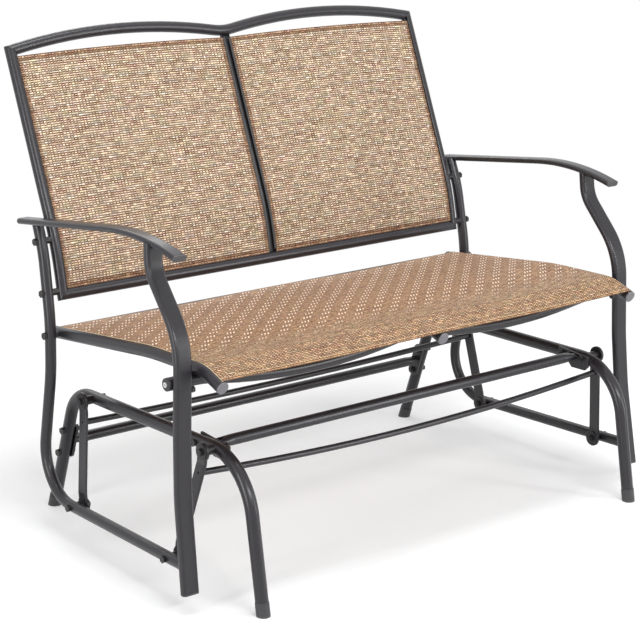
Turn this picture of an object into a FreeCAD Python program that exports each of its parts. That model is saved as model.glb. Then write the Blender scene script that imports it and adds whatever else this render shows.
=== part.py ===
import FreeCAD, Part
import math
import os

# Glider bench: two side hoops stand on the floor, four flat links hang from them
# and carry a two-place sling seat. Millimetres, +Z up, the bench faces -Y and
# the origin lies on the floor under the middle of the whole bench.

V = FreeCAD.Vector
os.makedirs("parts", exist_ok=True)

# Base hoops
HOOP_X = 487.0
HOOP_D = 25.4
TUBE_WALL = 1.5
HOOP_RAIL_Z = 279.9
HOOP_RAIL_RISE = 0.019
FRONT_FOOT_Y = -396.8
REAR_FOOT_Y = 325.5
FRONT_LEG_LEAN = 0.18
REAR_LEG_LEAN = 0.345
FRONT_BEND_R = 123.0
REAR_BEND_R = 80.0
FOOT_CAP_D = 27.0
FOOT_CAP_H = 26.0
FOOT_CAP_BASE = 4.0

# Stretchers and their saddle plates
STRETCHER_D = 22.2
FRONT_STRETCHER_PAST_PIVOT = 24.0
FRONT_BOLT_PAST_PIVOT = 54.0
REAR_PLATE_Z = 156.0
FLAT_END_LENGTH = 34.0
FLAT_END_HEIGHT = 17.0
PLATE_T = 5.0
PLATE_SEAT = 2.0
SADDLE_CLEAR = 0.05
FRONT_PLATE_LENGTH = 88.0
FRONT_PLATE_REAR_UP = 13.0
FRONT_PLATE_FRONT_UP = 5.0
FRONT_PLATE_DOWN = 25.0
FRONT_PLATE_REAR_DOWN = 9.0
FRONT_PLATE_DEEP_LENGTH = 47.0
REAR_PLATE_LENGTH = 76.0
REAR_PLATE_HALF = 14.0
REAR_BOLT_PITCH = 55.0
BOLT_D = 8.0
BOLT_HOLE_CLEAR = 0.1
HEX_AF = 13.0
HEAD_H = 5.5
HEAD_STANDOFF = 0.25
NUT_H = 6.5
THREAD_PAST_NUT = 2.0

# Swing links
LINK_LENGTH = 206.0
LINK_LEAN = 8.5
LINK_T = 5.0
LINK_W = 25.4
LINK_END_D = 35.0
LINK_PAD = 24.0
REAR_PIVOT_Y = 152.6
FRONT_PIVOT_Y = -256.4
HOOP_TO_LINK = 33.0
REAR_LINK_CRANK = 21.5
FRONT_LINK_CRANK = 32.5
PIVOT_RUNNING_FIT = 0.05
OPEN_PIVOT_CLEAR = 1.7
AXIAL_GAP = 0.35
WASHER_D = 31.0
WASHER_T = 2.0
SPACER_D = 18.0
ROD_D = 12.7
ROD_SPIGOT_D = 6.0
ROD_SPIGOT_SINK = 3.0
ROD_DROP = 42.0
FRONT_ROD_SAG = 20.0
REAR_ROD_SAG = 7.5

# Moving side frames
LINK_TO_SIDE = 19.0
FRAME_D = 22.5
FRAME_WALL = 1.5
RAIL_TOE_OUT = 18.1
RAIL_BEND_R = 97.0
POST_BENDS = [300.0, 400.0, 300.0]
LEG_W = 36.0
LEG_T = 16.0
LEG_ROUND = 6.5
LEG_FOOT_Z = 38.0
LEG_BENDS = [70.0, 150.0, 600.0, 600.0]
OVAL_WALL = 1.6
ARM_W = 30.5
ARM_T = 12.0
ARM_ROUND = 5.9
ARM_BEND = 560.0
CAP_FLANGE = 2.5
CAP_STEM = 14.0
CAP_FIT = 0.1

# Backrest frame
BACK_TO_SIDE = 39.0
BACK_D = 23.2
BACK_WALL = 1.5
BACK_TOP_Y = 388.4
BACK_TOP_Z = 947.5
BACK_KNEE_Y = 232.4
BACK_KNEE_Z = 573.5
BACK_LOW_Y = 214.5
BACK_LOW_Z = 484.0
BACK_KNEE_R = 600.0
ARCH_R = 1310.0
ARCH_PEAK_X = 258.0
ARCH_MIDDLE_R = 130.0
BACK_SLING_OFFSET = 7.7
CENTRE_TUBE_FORWARD = 5.6
SLING_BELOW_TOP = 14.0
SLING_ABOVE_LOW = 17.5
UPPER_POST_BOLT_UP = 107.5
LOWER_POST_BOLT_UP = 7.5
POST_BOLT_PAST_WALL = 7.0
BACK_SPACER_D = 14.0

# Seat frame
RAIL_TO_SIDE = 30.0
RAIL_D = 24.5
RAIL_WALL = 1.5
SEAT_REAR_Y = 215.6
SEAT_REAR_Z = 406.5
SEAT_KNEE_Y = -109.4
SEAT_KNEE_Z = 443.0
SEAT_CROWN_Y = -279.4
SEAT_CROWN_Z = 447.0
SEAT_END_Y = -332.5
SEAT_END_Z = 427.5
SEAT_BENDS = [700.0, 100.0]
RAIL_PAST_TUBE = 16.0
SEAT_BOLT_BEFORE_REAR = 9.5
SEAT_BOLT_UP = 1.5
REAR_TUBE_D = 24.0
FRONT_TUBE_D = 25.0
FRONT_TUBE_PAST_SIDE = 29.5
FRONT_TUBE_GAP = 0.15
FRONT_TUBE_NOTCH = 2.0
BOW_LOW_X = 262.0
BOW_R = 1300.0
BOW_TURN_R = 150.0
SLING_T = 1.2
SLING_LIFT = 0.35
SLOT_W = 3.2
SLING_ROD_D = 5.0
SLING_ROD_GAP = 0.3
SLING_ROD_SETBACK = 1.2
SLING_REAR_INSET = 6.0
SLING_FRONT_INSET = 4.0
LEG_BOLT_D = 6.0
LEG_BOLT_AF = 11.0
LEG_BOLT_HEAD = 7.0
LEG_BOLT_BELOW = 11.0

# Half widths that follow from the ones above
LINK_TOP_X = HOOP_X + HOOP_TO_LINK
REAR_LINK_LOW_X = LINK_TOP_X + REAR_LINK_CRANK
FRONT_LINK_LOW_X = LINK_TOP_X + FRONT_LINK_CRANK
SIDE_X = REAR_LINK_LOW_X + LINK_TO_SIDE
BACK_X = SIDE_X - BACK_TO_SIDE
RAIL_X = SIDE_X - RAIL_TO_SIDE
FRONT_TUBE_HALF = SIDE_X + FRONT_TUBE_PAST_SIDE

# Corners of the middle lines of the bent members
SEAT_POINTS = [V(0, SEAT_REAR_Y, SEAT_REAR_Z), V(0, SEAT_KNEE_Y, SEAT_KNEE_Z),
               V(0, SEAT_CROWN_Y, SEAT_CROWN_Z), V(0, SEAT_END_Y, SEAT_END_Z)]
ARM_POINTS = [V(SIDE_X + 3.0, 283.5, 627.2), V(SIDE_X - 0.5, -131.1, 680.9),
              V(SIDE_X - 2.5, -241.4, 651.7)]
LEG_POINTS = [V(SIDE_X + 1.0, -162.9, 667.5), V(SIDE_X + 2.5, -168.4, 612.5),
              V(SIDE_X + 7.0, -263.4, 505.5), V(SIDE_X + 13.2, -267.9, 325.5),
              V(SIDE_X + 18.5, -276.4, 210.5), V(SIDE_X + 26.0, -307.9, 20.5)]
POST_POINTS = [V(SIDE_X - 9.5, BACK_KNEE_Y + 23.2, 630.0),
               V(SIDE_X - 8.0, BACK_KNEE_Y, BACK_KNEE_Z),
               V(SIDE_X - 4.0, SEAT_REAR_Y - 9.0, SEAT_REAR_Z + 29.0),
               V(SIDE_X - 1.0, SEAT_REAR_Y - 11.0, SEAT_REAR_Z - 76.0)]
RAIL_REAR_Y = SEAT_REAR_Y + 35.4
RAIL_FRONT_Y = -306.4

REACH = 2000.0


def corner_path(points, radii):
    """Straight runs joined by tangent arcs, one radius for each inner corner."""
    edges = []
    start = points[0]
    for i in range(1, len(points) - 1):
        corner = points[i]
        to_last = (points[i - 1] - corner).normalize()
        to_next = (points[i + 1] - corner).normalize()
        half_angle = to_last.getAngle(to_next) / 2
        setback = radii[i - 1] / math.tan(half_angle)
        middle = (to_last + to_next).normalize()
        centre = corner + middle * (radii[i - 1] / math.sin(half_angle))
        arc_start = corner + to_last * setback
        arc_end = corner + to_next * setback
        arc_middle = centre - middle * radii[i - 1]
        edges.append(Part.LineSegment(start, arc_start).toShape())
        edges.append(Part.Arc(arc_start, arc_middle, arc_end).toShape())
        start = arc_end
    edges.append(Part.LineSegment(start, points[-1]).toShape())
    return Part.Wire(edges)


def start_direction(path):
    edge = path.OrderedEdges[0]
    return edge.tangentAt(edge.FirstParameter)


def sweep(path, profiles):
    """Solid made by each closed profile wire, the first less the rest."""
    solids = []
    for profile in profiles:
        pipe = Part.BRepOffsetAPI.MakePipeShell(path)
        pipe.setFrenetMode(False)
        pipe.add(profile)
        pipe.build()
        pipe.makeSolid()
        solids.append(Part.Solid(pipe.shape()))
    return solids[0].cut(solids[1:]) if len(solids) > 1 else solids[0]


def ring(path, diameter):
    origin = path.OrderedVertexes[0].Point
    return Part.Wire([Part.makeCircle(diameter / 2, origin, start_direction(path))])


def tube(path, diameter, wall):
    return sweep(path, [ring(path, diameter), ring(path, diameter - 2 * wall)])


def bar(path, diameter):
    return sweep(path, [ring(path, diameter)])


def frame_at(origin, direction, across):
    """Placement whose local Z is the direction and local X is nearest to across."""
    along = V(direction).normalize()
    side = (across - along * across.dot(along)).normalize()
    up = along.cross(side)
    matrix = FreeCAD.Matrix(side.x, up.x, along.x, origin.x,
                            side.y, up.y, along.y, origin.y,
                            side.z, up.z, along.z, origin.z,
                            0, 0, 0, 1)
    return FreeCAD.Placement(matrix)


def rounded_rectangle(width, thick, radius):
    """Flat wire about the local origin, wide along local X."""
    w = width / 2
    t = thick / 2
    k = radius * (1 - math.sqrt(0.5))
    edges = []
    for sx, sy in ((1, 1), (-1, 1), (-1, -1), (1, -1)):
        ends = [V(sx * w, sy * (t - radius), 0), V(sx * (w - radius), sy * t, 0)]
        if sx * sy < 0:
            ends.reverse()
        edges.append(Part.Arc(ends[0], V(sx * (w - k), sy * (t - k), 0), ends[1]).toShape())
    edges.append(Part.LineSegment(V(w - radius, t, 0), V(radius - w, t, 0)).toShape())
    edges.append(Part.LineSegment(V(w - radius, -t, 0), V(radius - w, -t, 0)).toShape())
    edges.append(Part.LineSegment(V(w, t - radius, 0), V(w, radius - t, 0)).toShape())
    edges.append(Part.LineSegment(V(-w, t - radius, 0), V(-w, radius - t, 0)).toShape())
    return Part.Wire(Part.__sortEdges__(edges))


def oval_profile(path, width, thick, radius):
    profile = rounded_rectangle(width, thick, radius)
    origin = path.OrderedVertexes[0].Point
    profile.Placement = frame_at(origin, start_direction(path), V(1, 0, 0))
    return profile


def oval_bar(path, width, thick, radius):
    return sweep(path, [oval_profile(path, width, thick, radius)])


def oval_tube(path, width, thick, radius, wall):
    inner = oval_profile(path, width - 2 * wall, thick - 2 * wall, radius - wall)
    return sweep(path, [oval_profile(path, width, thick, radius), inner])


def beyond(point, normal):
    """Very large block filling the space on the side the normal points to."""
    block = Part.makeBox(REACH, REACH, REACH, V(-REACH / 2, -REACH / 2, 0))
    block.Placement = FreeCAD.Placement(point, FreeCAD.Rotation(V(0, 0, 1), normal))
    return block


def cylinder(start, direction, length, diameter):
    return Part.makeCylinder(diameter / 2, length, start, direction)


def hexagon(start, direction, height, across_flats):
    corner_r = across_flats / math.sqrt(3)
    points = [V(corner_r * math.cos(math.pi / 3 * i), corner_r * math.sin(math.pi / 3 * i), 0)
              for i in range(7)]
    prism = Part.Face(Part.makePolygon(points)).extrude(V(0, 0, height))
    prism.Placement = FreeCAD.Placement(start, FreeCAD.Rotation(V(0, 0, 1), direction))
    return prism


def bolt(seat, direction, length, diameter=BOLT_D, across_flats=HEX_AF):
    """Hex head standing on its seat, shank running along the direction."""
    head = hexagon(seat, direction * -1, HEAD_H, across_flats)
    return head.fuse(cylinder(seat, direction, length, diameter)).removeSplitter()


def nut(seat, direction, diameter=BOLT_D):
    body = hexagon(seat, direction, NUT_H, HEX_AF)
    return body.cut(cylinder(seat - direction, direction, NUT_H + 2, diameter))


def washer(seat, direction, outer=WASHER_D, thick=WASHER_T, diameter=BOLT_D):
    disc = cylinder(seat, direction, thick, outer)
    return disc.cut(cylinder(seat - direction, direction, thick + 2, diameter))


def drill(solid, point, direction, diameter):
    """Round hole right through, along the direction."""
    return solid.cut(cylinder(point - direction * 90, direction, 180, diameter))


def mirrored(shape):
    return shape.mirror(V(0, 0, 0), V(1, 0, 0))


def mirror_point(point):
    return V(-point.x, point.y, point.z)


def both_sides(shapes):
    return Part.makeCompound([s for shape in shapes for s in (shape, mirrored(shape))])


def write(name, shape):
    shape.exportStep("parts/" + name + ".step")


def write_pair(name, right_shape):
    write("right_" + name, right_shape)
    write("left_" + name, mirrored(right_shape))


OUT = V(1, 0, 0)
IN = V(-1, 0, 0)


# Where the hoop runs

def hoop_rail_z(y):
    return HOOP_RAIL_Z - HOOP_RAIL_RISE * y


def hoop_corner(foot_y, lean):
    z = hoop_rail_z(foot_y) / (1 + HOOP_RAIL_RISE * lean)
    return V(HOOP_X, foot_y + lean * z, z)


def hoop_path(foot_drop):
    low = FOOT_CAP_BASE - foot_drop
    rear_foot = V(HOOP_X, REAR_FOOT_Y - REAR_LEG_LEAN * low, low)
    front_foot = V(HOOP_X, FRONT_FOOT_Y + FRONT_LEG_LEAN * low, low)
    points = [rear_foot, hoop_corner(REAR_FOOT_Y, -REAR_LEG_LEAN),
              hoop_corner(FRONT_FOOT_Y, FRONT_LEG_LEAN), front_foot]
    return corner_path(points, [REAR_BEND_R, FRONT_BEND_R])


def rear_leg_point(z):
    return V(HOOP_X, REAR_FOOT_Y - REAR_LEG_LEAN * z, z)


def upper_pivot(y):
    return V(LINK_TOP_X, y, hoop_rail_z(y))


def lower_pivot(y, low_x):
    top = upper_pivot(y)
    toward_middle = -1 if y > 0 else 1
    angle = math.radians(LINK_LEAN)
    return V(low_x, y + toward_middle * LINK_LENGTH * math.sin(angle),
             top.z - LINK_LENGTH * math.cos(angle))


HOOP_INNER_X = HOOP_X - HOOP_D / 2
HOOP_OUTER_X = HOOP_X + HOOP_D / 2
PLATE_INNER_X = HOOP_INNER_X + PLATE_SEAT - PLATE_T
PLATE_HOLE = BOLT_D + 2 * BOLT_HOLE_CLEAR
REAR_TOP = upper_pivot(REAR_PIVOT_Y)
FRONT_TOP = upper_pivot(FRONT_PIVOT_Y)
REAR_LOW = lower_pivot(REAR_PIVOT_Y, REAR_LINK_LOW_X)
FRONT_LOW = lower_pivot(FRONT_PIVOT_Y, FRONT_LINK_LOW_X)
FRONT_STRETCHER_Y = FRONT_PIVOT_Y + FRONT_STRETCHER_PAST_PIVOT
FRONT_BOLT_Y = FRONT_PIVOT_Y + FRONT_BOLT_PAST_PIVOT
FRONT_SADDLE_BOLT = V(HOOP_X, FRONT_BOLT_Y, hoop_rail_z(FRONT_BOLT_Y))
REAR_LEG_UP = V(0, -REAR_LEG_LEAN, 1).normalize()
REAR_PLATE_MIDDLE = rear_leg_point(REAR_PLATE_Z)
REAR_SADDLE_BOLTS = [REAR_PLATE_MIDDLE + REAR_LEG_UP * (REAR_BOLT_PITCH / 2),
                     REAR_PLATE_MIDDLE - REAR_LEG_UP * (REAR_BOLT_PITCH / 2)]
HOOP_HOLES = [REAR_TOP, FRONT_TOP, FRONT_SADDLE_BOLT] + REAR_SADDLE_BOLTS


def build_hoop():
    hoop = tube(hoop_path(30), HOOP_D, TUBE_WALL)
    hoop = hoop.cut(beyond(V(0, 0, FOOT_CAP_BASE), V(0, 0, -1)))
    for point in HOOP_HOLES:
        hoop = drill(hoop, V(HOOP_X, point.y, point.z), OUT, PLATE_HOLE)
    return hoop


def foot_cap(foot_y, lean):
    """Moulded cup around the foot of the hoop, flat on the floor."""
    up = V(0, lean, 1).normalize()
    foot = V(HOOP_X, foot_y, 0)
    cap = cylinder(foot - up * 20, up, 20 + FOOT_CAP_H, FOOT_CAP_D)
    cap = cap.cut(beyond(V(0, 0, 0), V(0, 0, -1)))
    tube_space = cylinder(foot - up * 20, up, 60 + FOOT_CAP_H, HOOP_D)
    return cap.cut(tube_space.cut(beyond(V(0, 0, FOOT_CAP_BASE), V(0, 0, -1))))


def saddle_plate(corners, bolts):
    """Thick plate with a shallow groove that seats on the inner side of the hoop."""
    outline = Part.makePolygon([V(PLATE_INNER_X, c.y, c.z) for c in corners + corners[:1]])
    plate = Part.Face(outline).extrude(V(PLATE_T, 0, 0))
    plate = plate.cut(bar(hoop_path(30), HOOP_D + 2 * SADDLE_CLEAR))
    for point in bolts:
        plate = drill(plate, V(HOOP_X, point.y, point.z), OUT, PLATE_HOLE)
    return plate


def front_saddle_plate():
    """Long edge along the top of the rail, a deeper lobe below under the pivot."""
    chamfer = 9
    y0 = FRONT_STRETCHER_Y - FRONT_PLATE_LENGTH / 2
    y1 = FRONT_STRETCHER_Y + FRONT_PLATE_LENGTH / 2
    deep_y = y0 + FRONT_PLATE_DEEP_LENGTH
    heights = [(y0, FRONT_PLATE_FRONT_UP), (y1, FRONT_PLATE_REAR_UP),
               (y1, -FRONT_PLATE_REAR_DOWN), (deep_y + chamfer, chamfer - FRONT_PLATE_DOWN),
               (deep_y, -FRONT_PLATE_DOWN), (y0 + chamfer, -FRONT_PLATE_DOWN),
               (y0, chamfer - FRONT_PLATE_DOWN)]
    corners = [V(0, y, hoop_rail_z(y) + up) for y, up in heights]
    return saddle_plate(corners, [FRONT_TOP, FRONT_SADDLE_BOLT])


def rear_saddle_plate():
    across = V(0, REAR_LEG_UP.z, -REAR_LEG_UP.y)
    corners = []
    for along, side in ((-1, -0.7), (-0.85, -1), (0.85, -1), (1, -0.7),
                        (1, 0.7), (0.85, 1), (-0.85, 1), (-1, 0.7)):
        corners.append(REAR_PLATE_MIDDLE + REAR_LEG_UP * (along * REAR_PLATE_LENGTH / 2)
                       + across * (side * REAR_PLATE_HALF))
    return saddle_plate(corners, REAR_SADDLE_BOLTS)


def stretcher(y, z):
    """Round tube between the saddle plates, its ends pressed flatter for the weld."""
    end = PLATE_INNER_X
    flat_start = end - FLAT_END_LENGTH
    round_part = cylinder(V(-flat_start, y, z), OUT, 2 * flat_start, STRETCHER_D)
    inner = cylinder(V(-end, y, z), OUT, 2 * end, STRETCHER_D - 2 * TUBE_WALL)
    half_width = math.pi * STRETCHER_D / 4 - FLAT_END_HEIGHT / 2 + FLAT_END_HEIGHT / 4
    solids = [round_part]
    for sign in (1, -1):
        near = Part.Wire([Part.makeCircle(STRETCHER_D / 2, V(sign * flat_start, y, z), OUT)])
        far = Part.Ellipse(V(sign * end, y, z), half_width, FLAT_END_HEIGHT / 2).toShape()
        far.rotate(V(sign * end, y, z), V(0, 1, 0), 90)
        far.rotate(V(sign * end, y, z), V(1, 0, 0), 90)
        solids.append(Part.makeLoft([near, Part.Wire([far])], True, True))
    outer = solids[0].fuse(solids[1:])
    return outer.cut(inner)


def upper_spacer(pivot):
    """Short sleeve between the hoop and the link."""
    length = pivot.x - LINK_T / 2 - AXIAL_GAP - HOOP_X
    sleeve = cylinder(V(HOOP_X, pivot.y, pivot.z), OUT, length, SPACER_D)
    sleeve = sleeve.cut(bar(hoop_path(30), HOOP_D))
    return drill(sleeve, pivot, OUT, BOLT_D)


def upper_pivot_bolt(pivot, inner_x):
    seat = V(pivot.x + LINK_T / 2 + AXIAL_GAP + WASHER_T, pivot.y, pivot.z)
    return bolt(seat, IN, seat.x - inner_x + NUT_H + THREAD_PAST_NUT)


def make_base():
    write_pair("base_hoop", build_hoop())
    write("front_foot_caps", both_sides([foot_cap(FRONT_FOOT_Y, FRONT_LEG_LEAN)]))
    write("rear_foot_caps", both_sides([foot_cap(REAR_FOOT_Y, -REAR_LEG_LEAN)]))
    write_pair("front_saddle_plate", front_saddle_plate())
    write_pair("rear_saddle_plate", rear_saddle_plate())
    write("front_stretcher", stretcher(FRONT_STRETCHER_Y, hoop_rail_z(FRONT_STRETCHER_Y)))
    write("rear_stretcher", stretcher(REAR_PLATE_MIDDLE.y, REAR_PLATE_MIDDLE.z))
    saddle_bolts = []
    saddle_nuts = []
    for point in [FRONT_SADDLE_BOLT] + REAR_SADDLE_BOLTS:
        saddle_bolts.append(bolt(V(HOOP_OUTER_X, point.y, point.z), IN,
                                 HOOP_OUTER_X - PLATE_INNER_X + NUT_H + THREAD_PAST_NUT))
        saddle_nuts.append(nut(V(PLATE_INNER_X, point.y, point.z), IN))
    write("saddle_bolts", both_sides(saddle_bolts))
    write("saddle_nuts", both_sides(saddle_nuts))
    write("upper_pivot_bolts", both_sides([upper_pivot_bolt(FRONT_TOP, PLATE_INNER_X),
                                           upper_pivot_bolt(REAR_TOP, HOOP_INNER_X)]))
    write("upper_pivot_nuts", both_sides([
        nut(V(PLATE_INNER_X, FRONT_TOP.y, FRONT_TOP.z), IN),
        nut(V(HOOP_INNER_X, REAR_TOP.y, REAR_TOP.z), IN)]))
    write("upper_pivot_spacers", both_sides([upper_spacer(FRONT_TOP), upper_spacer(REAR_TOP)]))
    outer_face = LINK_TOP_X + LINK_T / 2 + AXIAL_GAP
    write("upper_pivot_washers", both_sides([washer(V(outer_face, p.y, p.z), OUT)
                                             for p in (FRONT_TOP, REAR_TOP)]))


# Swing links and tie rods

def rod_point(top, low):
    """Middle of the hole for the tie rod, in the middle of the link thickness."""
    share = ROD_DROP / LINK_LENGTH
    pad = LINK_PAD / LINK_LENGTH
    x = top.x + (low.x - top.x) * (share - pad) / (1 - 2 * pad)
    return V(x, top.y + (low.y - top.y) * share, top.z + (low.z - top.z) * share)


def link(top, low, low_clear):
    """Flat bar with round ends, cranked so both ends lie flat on their pivots."""
    half = LINK_T / 2
    length = LINK_LENGTH
    crank = [(0 - LINK_END_D, top.x), (LINK_PAD, top.x),
             (length - LINK_PAD, low.x), (length + LINK_END_D, low.x)]
    outline = [V(x + half, 0, -s) for s, x in crank] + [V(x - half, 0, -s) for s, x in crank[::-1]]
    strip = Part.Face(Part.makePolygon(outline + outline[:1])).extrude(V(0, LINK_END_D, 0))
    strip.translate(V(0, -LINK_END_D / 2, 0))
    block_start = min(top.x, low.x) - 20
    block_length = abs(low.x - top.x) + 40
    plan = Part.makeBox(block_length, LINK_W, length, V(block_start, -LINK_W / 2, -length))
    for s in (0, length):
        plan = plan.fuse(cylinder(V(block_start, 0, -s), OUT, block_length, LINK_END_D))
    body = strip.common(plan)
    body = drill(body, V(top.x, 0, 0), OUT, BOLT_D + 2 * PIVOT_RUNNING_FIT)
    body = drill(body, V(low.x, 0, -length), OUT, BOLT_D + 2 * low_clear)
    body = drill(body, V(top.x, 0, -ROD_DROP), OUT, ROD_SPIGOT_D)
    turn = math.degrees(math.atan2(low.y - top.y, top.z - low.z))
    body.rotate(V(0, 0, 0), V(1, 0, 0), turn)
    body.translate(V(0, top.y, top.z))
    return body


def tie_rod(top, low, sag):
    """Slightly bowed rod across the bench, coped to the links, spigots in their holes."""
    end = rod_point(top, low)
    slope = 2 * sag / end.x
    right = V(end.x + ROD_D, end.y, end.z + slope * ROD_D)
    middle = V(0, end.y, end.z - slope * end.x)
    bow_r = (end.x - 2 * ROD_D) / slope
    rod = bar(corner_path([mirror_point(right), middle, right], [bow_r]), ROD_D)
    lean = (low.x - top.x) / (LINK_LENGTH - 2 * LINK_PAD)
    down = V(0, low.y - top.y, low.z - top.z).normalize()
    beyond_link = beyond(end - OUT * (LINK_T / 2), (OUT - down * lean).normalize())
    rod = rod.cut([beyond_link, mirrored(beyond_link)])
    spigot_end = end.x + LINK_T / 2 - ROD_SPIGOT_SINK
    spigot = cylinder(V(end.x - ROD_D, end.y, end.z), OUT, spigot_end - end.x + ROD_D,
                      ROD_SPIGOT_D)
    return rod.fuse([spigot, mirrored(spigot)]).removeSplitter()


def make_links():
    write_pair("rear_link", link(REAR_TOP, REAR_LOW, PIVOT_RUNNING_FIT))
    write_pair("front_link", link(FRONT_TOP, FRONT_LOW, OPEN_PIVOT_CLEAR))
    write("rear_tie_rod", tie_rod(REAR_TOP, REAR_LOW, REAR_ROD_SAG))
    write("front_tie_rod", tie_rod(FRONT_TOP, FRONT_LOW, FRONT_ROD_SAG))


# Moving side frames

LEG_KNEE = LEG_POINTS[2]
LEG_SHIN = LEG_POINTS[3]


def bottom_rail_z(y):
    rise = (FRONT_LOW.z - REAR_LOW.z) / (REAR_LOW.y - FRONT_LOW.y)
    return REAR_LOW.z + (REAR_LOW.y - y) * rise


def bottom_rail_x(y):
    return SIDE_X + RAIL_TOE_OUT * (RAIL_REAR_Y - y) / (RAIL_REAR_Y - RAIL_FRONT_Y)


def post_path():
    points = POST_POINTS + [V(bottom_rail_x(y), y, bottom_rail_z(y))
                            for y in (RAIL_REAR_Y, RAIL_FRONT_Y)]
    return corner_path(points, POST_BENDS + [RAIL_BEND_R])


def leg_path():
    return corner_path(LEG_POINTS, LEG_BENDS)


def arm_path(past_ends):
    """Middle line of the armrest, run on past both cut ends."""
    rear, middle, front = ARM_POINTS
    return corner_path([rear + (rear - middle).normalize() * past_ends, middle,
                        front + (front - middle).normalize() * past_ends], [ARM_BEND])


def back_y(z):
    """Middle of the backrest side tube at a height, on its straight runs."""
    if z > BACK_KNEE_Z:
        share = (z - BACK_KNEE_Z) / (BACK_TOP_Z - BACK_KNEE_Z)
        return BACK_KNEE_Y + (BACK_TOP_Y - BACK_KNEE_Y) * share
    share = (z - BACK_LOW_Z) / (BACK_KNEE_Z - BACK_LOW_Z)
    return BACK_LOW_Y + (BACK_KNEE_Y - BACK_LOW_Y) * share


def post_x(z):
    upper, lower = (POST_POINTS[1], POST_POINTS[2])
    if z > upper.z:
        upper, lower = (POST_POINTS[0], POST_POINTS[1])
    if z < lower.z:
        upper, lower = (POST_POINTS[2], POST_POINTS[3])
    return upper.x + (lower.x - upper.x) * (upper.z - z) / (upper.z - lower.z)


POST_BOLTS = [V(post_x(BACK_LOW_Z + up), back_y(BACK_LOW_Z + up), BACK_LOW_Z + up)
              for up in (UPPER_POST_BOLT_UP, LOWER_POST_BOLT_UP)]
SEAT_BOLT_Z = SEAT_REAR_Z + SEAT_BOLT_UP
SEAT_BOLT = V(post_x(SEAT_BOLT_Z), SEAT_REAR_Y - SEAT_BOLT_BEFORE_REAR, SEAT_BOLT_Z)
POST_HOLE = BOLT_D + 2 * BOLT_HOLE_CLEAR


def rail_centre(pivot):
    return V(bottom_rail_x(pivot.y), pivot.y, pivot.z)


def build_post():
    """Rear post with its sweep into the bottom rail, coped to the arm and the leg."""
    post = tube(post_path(), FRAME_D, FRAME_WALL)
    post = post.cut(oval_bar(arm_path(0), ARM_W, ARM_T, ARM_ROUND))
    post = post.cut(oval_bar(leg_path(), LEG_W, LEG_T, LEG_ROUND))
    solids = sorted(post.Solids, key=lambda s: s.Volume)
    post = solids[-1]
    for point in POST_BOLTS + [SEAT_BOLT, rail_centre(REAR_LOW), rail_centre(FRONT_LOW)]:
        post = drill(post, point, OUT, POST_HOLE)
    return post


def build_leg():
    leg = oval_tube(leg_path(), LEG_W, LEG_T, LEG_ROUND, OVAL_WALL)
    leg = leg.cut(oval_bar(arm_path(0), ARM_W, ARM_T, ARM_ROUND))
    leg = leg.cut(beyond(V(0, 0, LEG_FOOT_Z + CAP_FLANGE), V(0, 0, -1)))
    leg = sorted(leg.Solids, key=lambda s: s.Volume)[-1]
    return leg.cut(cylinder(LEG_BOLT - OUT * 60, OUT, 60, LEG_BOLT_D))


def oval_cap(path, width, thick, radius, tip, outward):
    """Plug for an oval tube end, its flange as large as the tube, its stem in the bore."""
    flange = oval_bar(path, width, thick, radius)
    flange = flange.cut([beyond(tip + outward * CAP_FLANGE, outward), beyond(tip, outward * -1)])
    inset = 2 * (OVAL_WALL + CAP_FIT)
    stem = oval_bar(path, width - inset, thick - inset, radius - inset / 2)
    stem = stem.cut([beyond(tip + outward * (CAP_FLANGE / 2), outward),
                     beyond(tip - outward * CAP_STEM, outward * -1)])
    return flange.fuse(stem).removeSplitter()


def leg_cap():
    tip = V(LEG_POINTS[-1].x, LEG_POINTS[-1].y, LEG_FOOT_Z + CAP_FLANGE)
    return oval_cap(leg_path(), LEG_W, LEG_T, LEG_ROUND, tip, V(0, 0, -1))


def arm_cap(end):
    outward = (ARM_POINTS[end] - ARM_POINTS[1]).normalize()
    return oval_cap(arm_path(CAP_STEM), ARM_W, ARM_T, ARM_ROUND, ARM_POINTS[end], outward)


def round_end_cap(tip, outward, diameter, wall):
    """Domed plug for a round tube end."""
    stem_d = diameter - 2 * (wall + CAP_FIT)
    flange = Part.makeCylinder(diameter / 2, CAP_FLANGE)
    flange = flange.makeFillet(CAP_FLANGE * 0.6, [flange.Edges[0]])
    stem = Part.makeCylinder(stem_d / 2, CAP_STEM + CAP_FLANGE / 2, V(0, 0, -CAP_STEM))
    cap = flange.fuse(stem).removeSplitter()
    cap.Placement = FreeCAD.Placement(tip, FreeCAD.Rotation(V(0, 0, 1), outward))
    return cap


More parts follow.
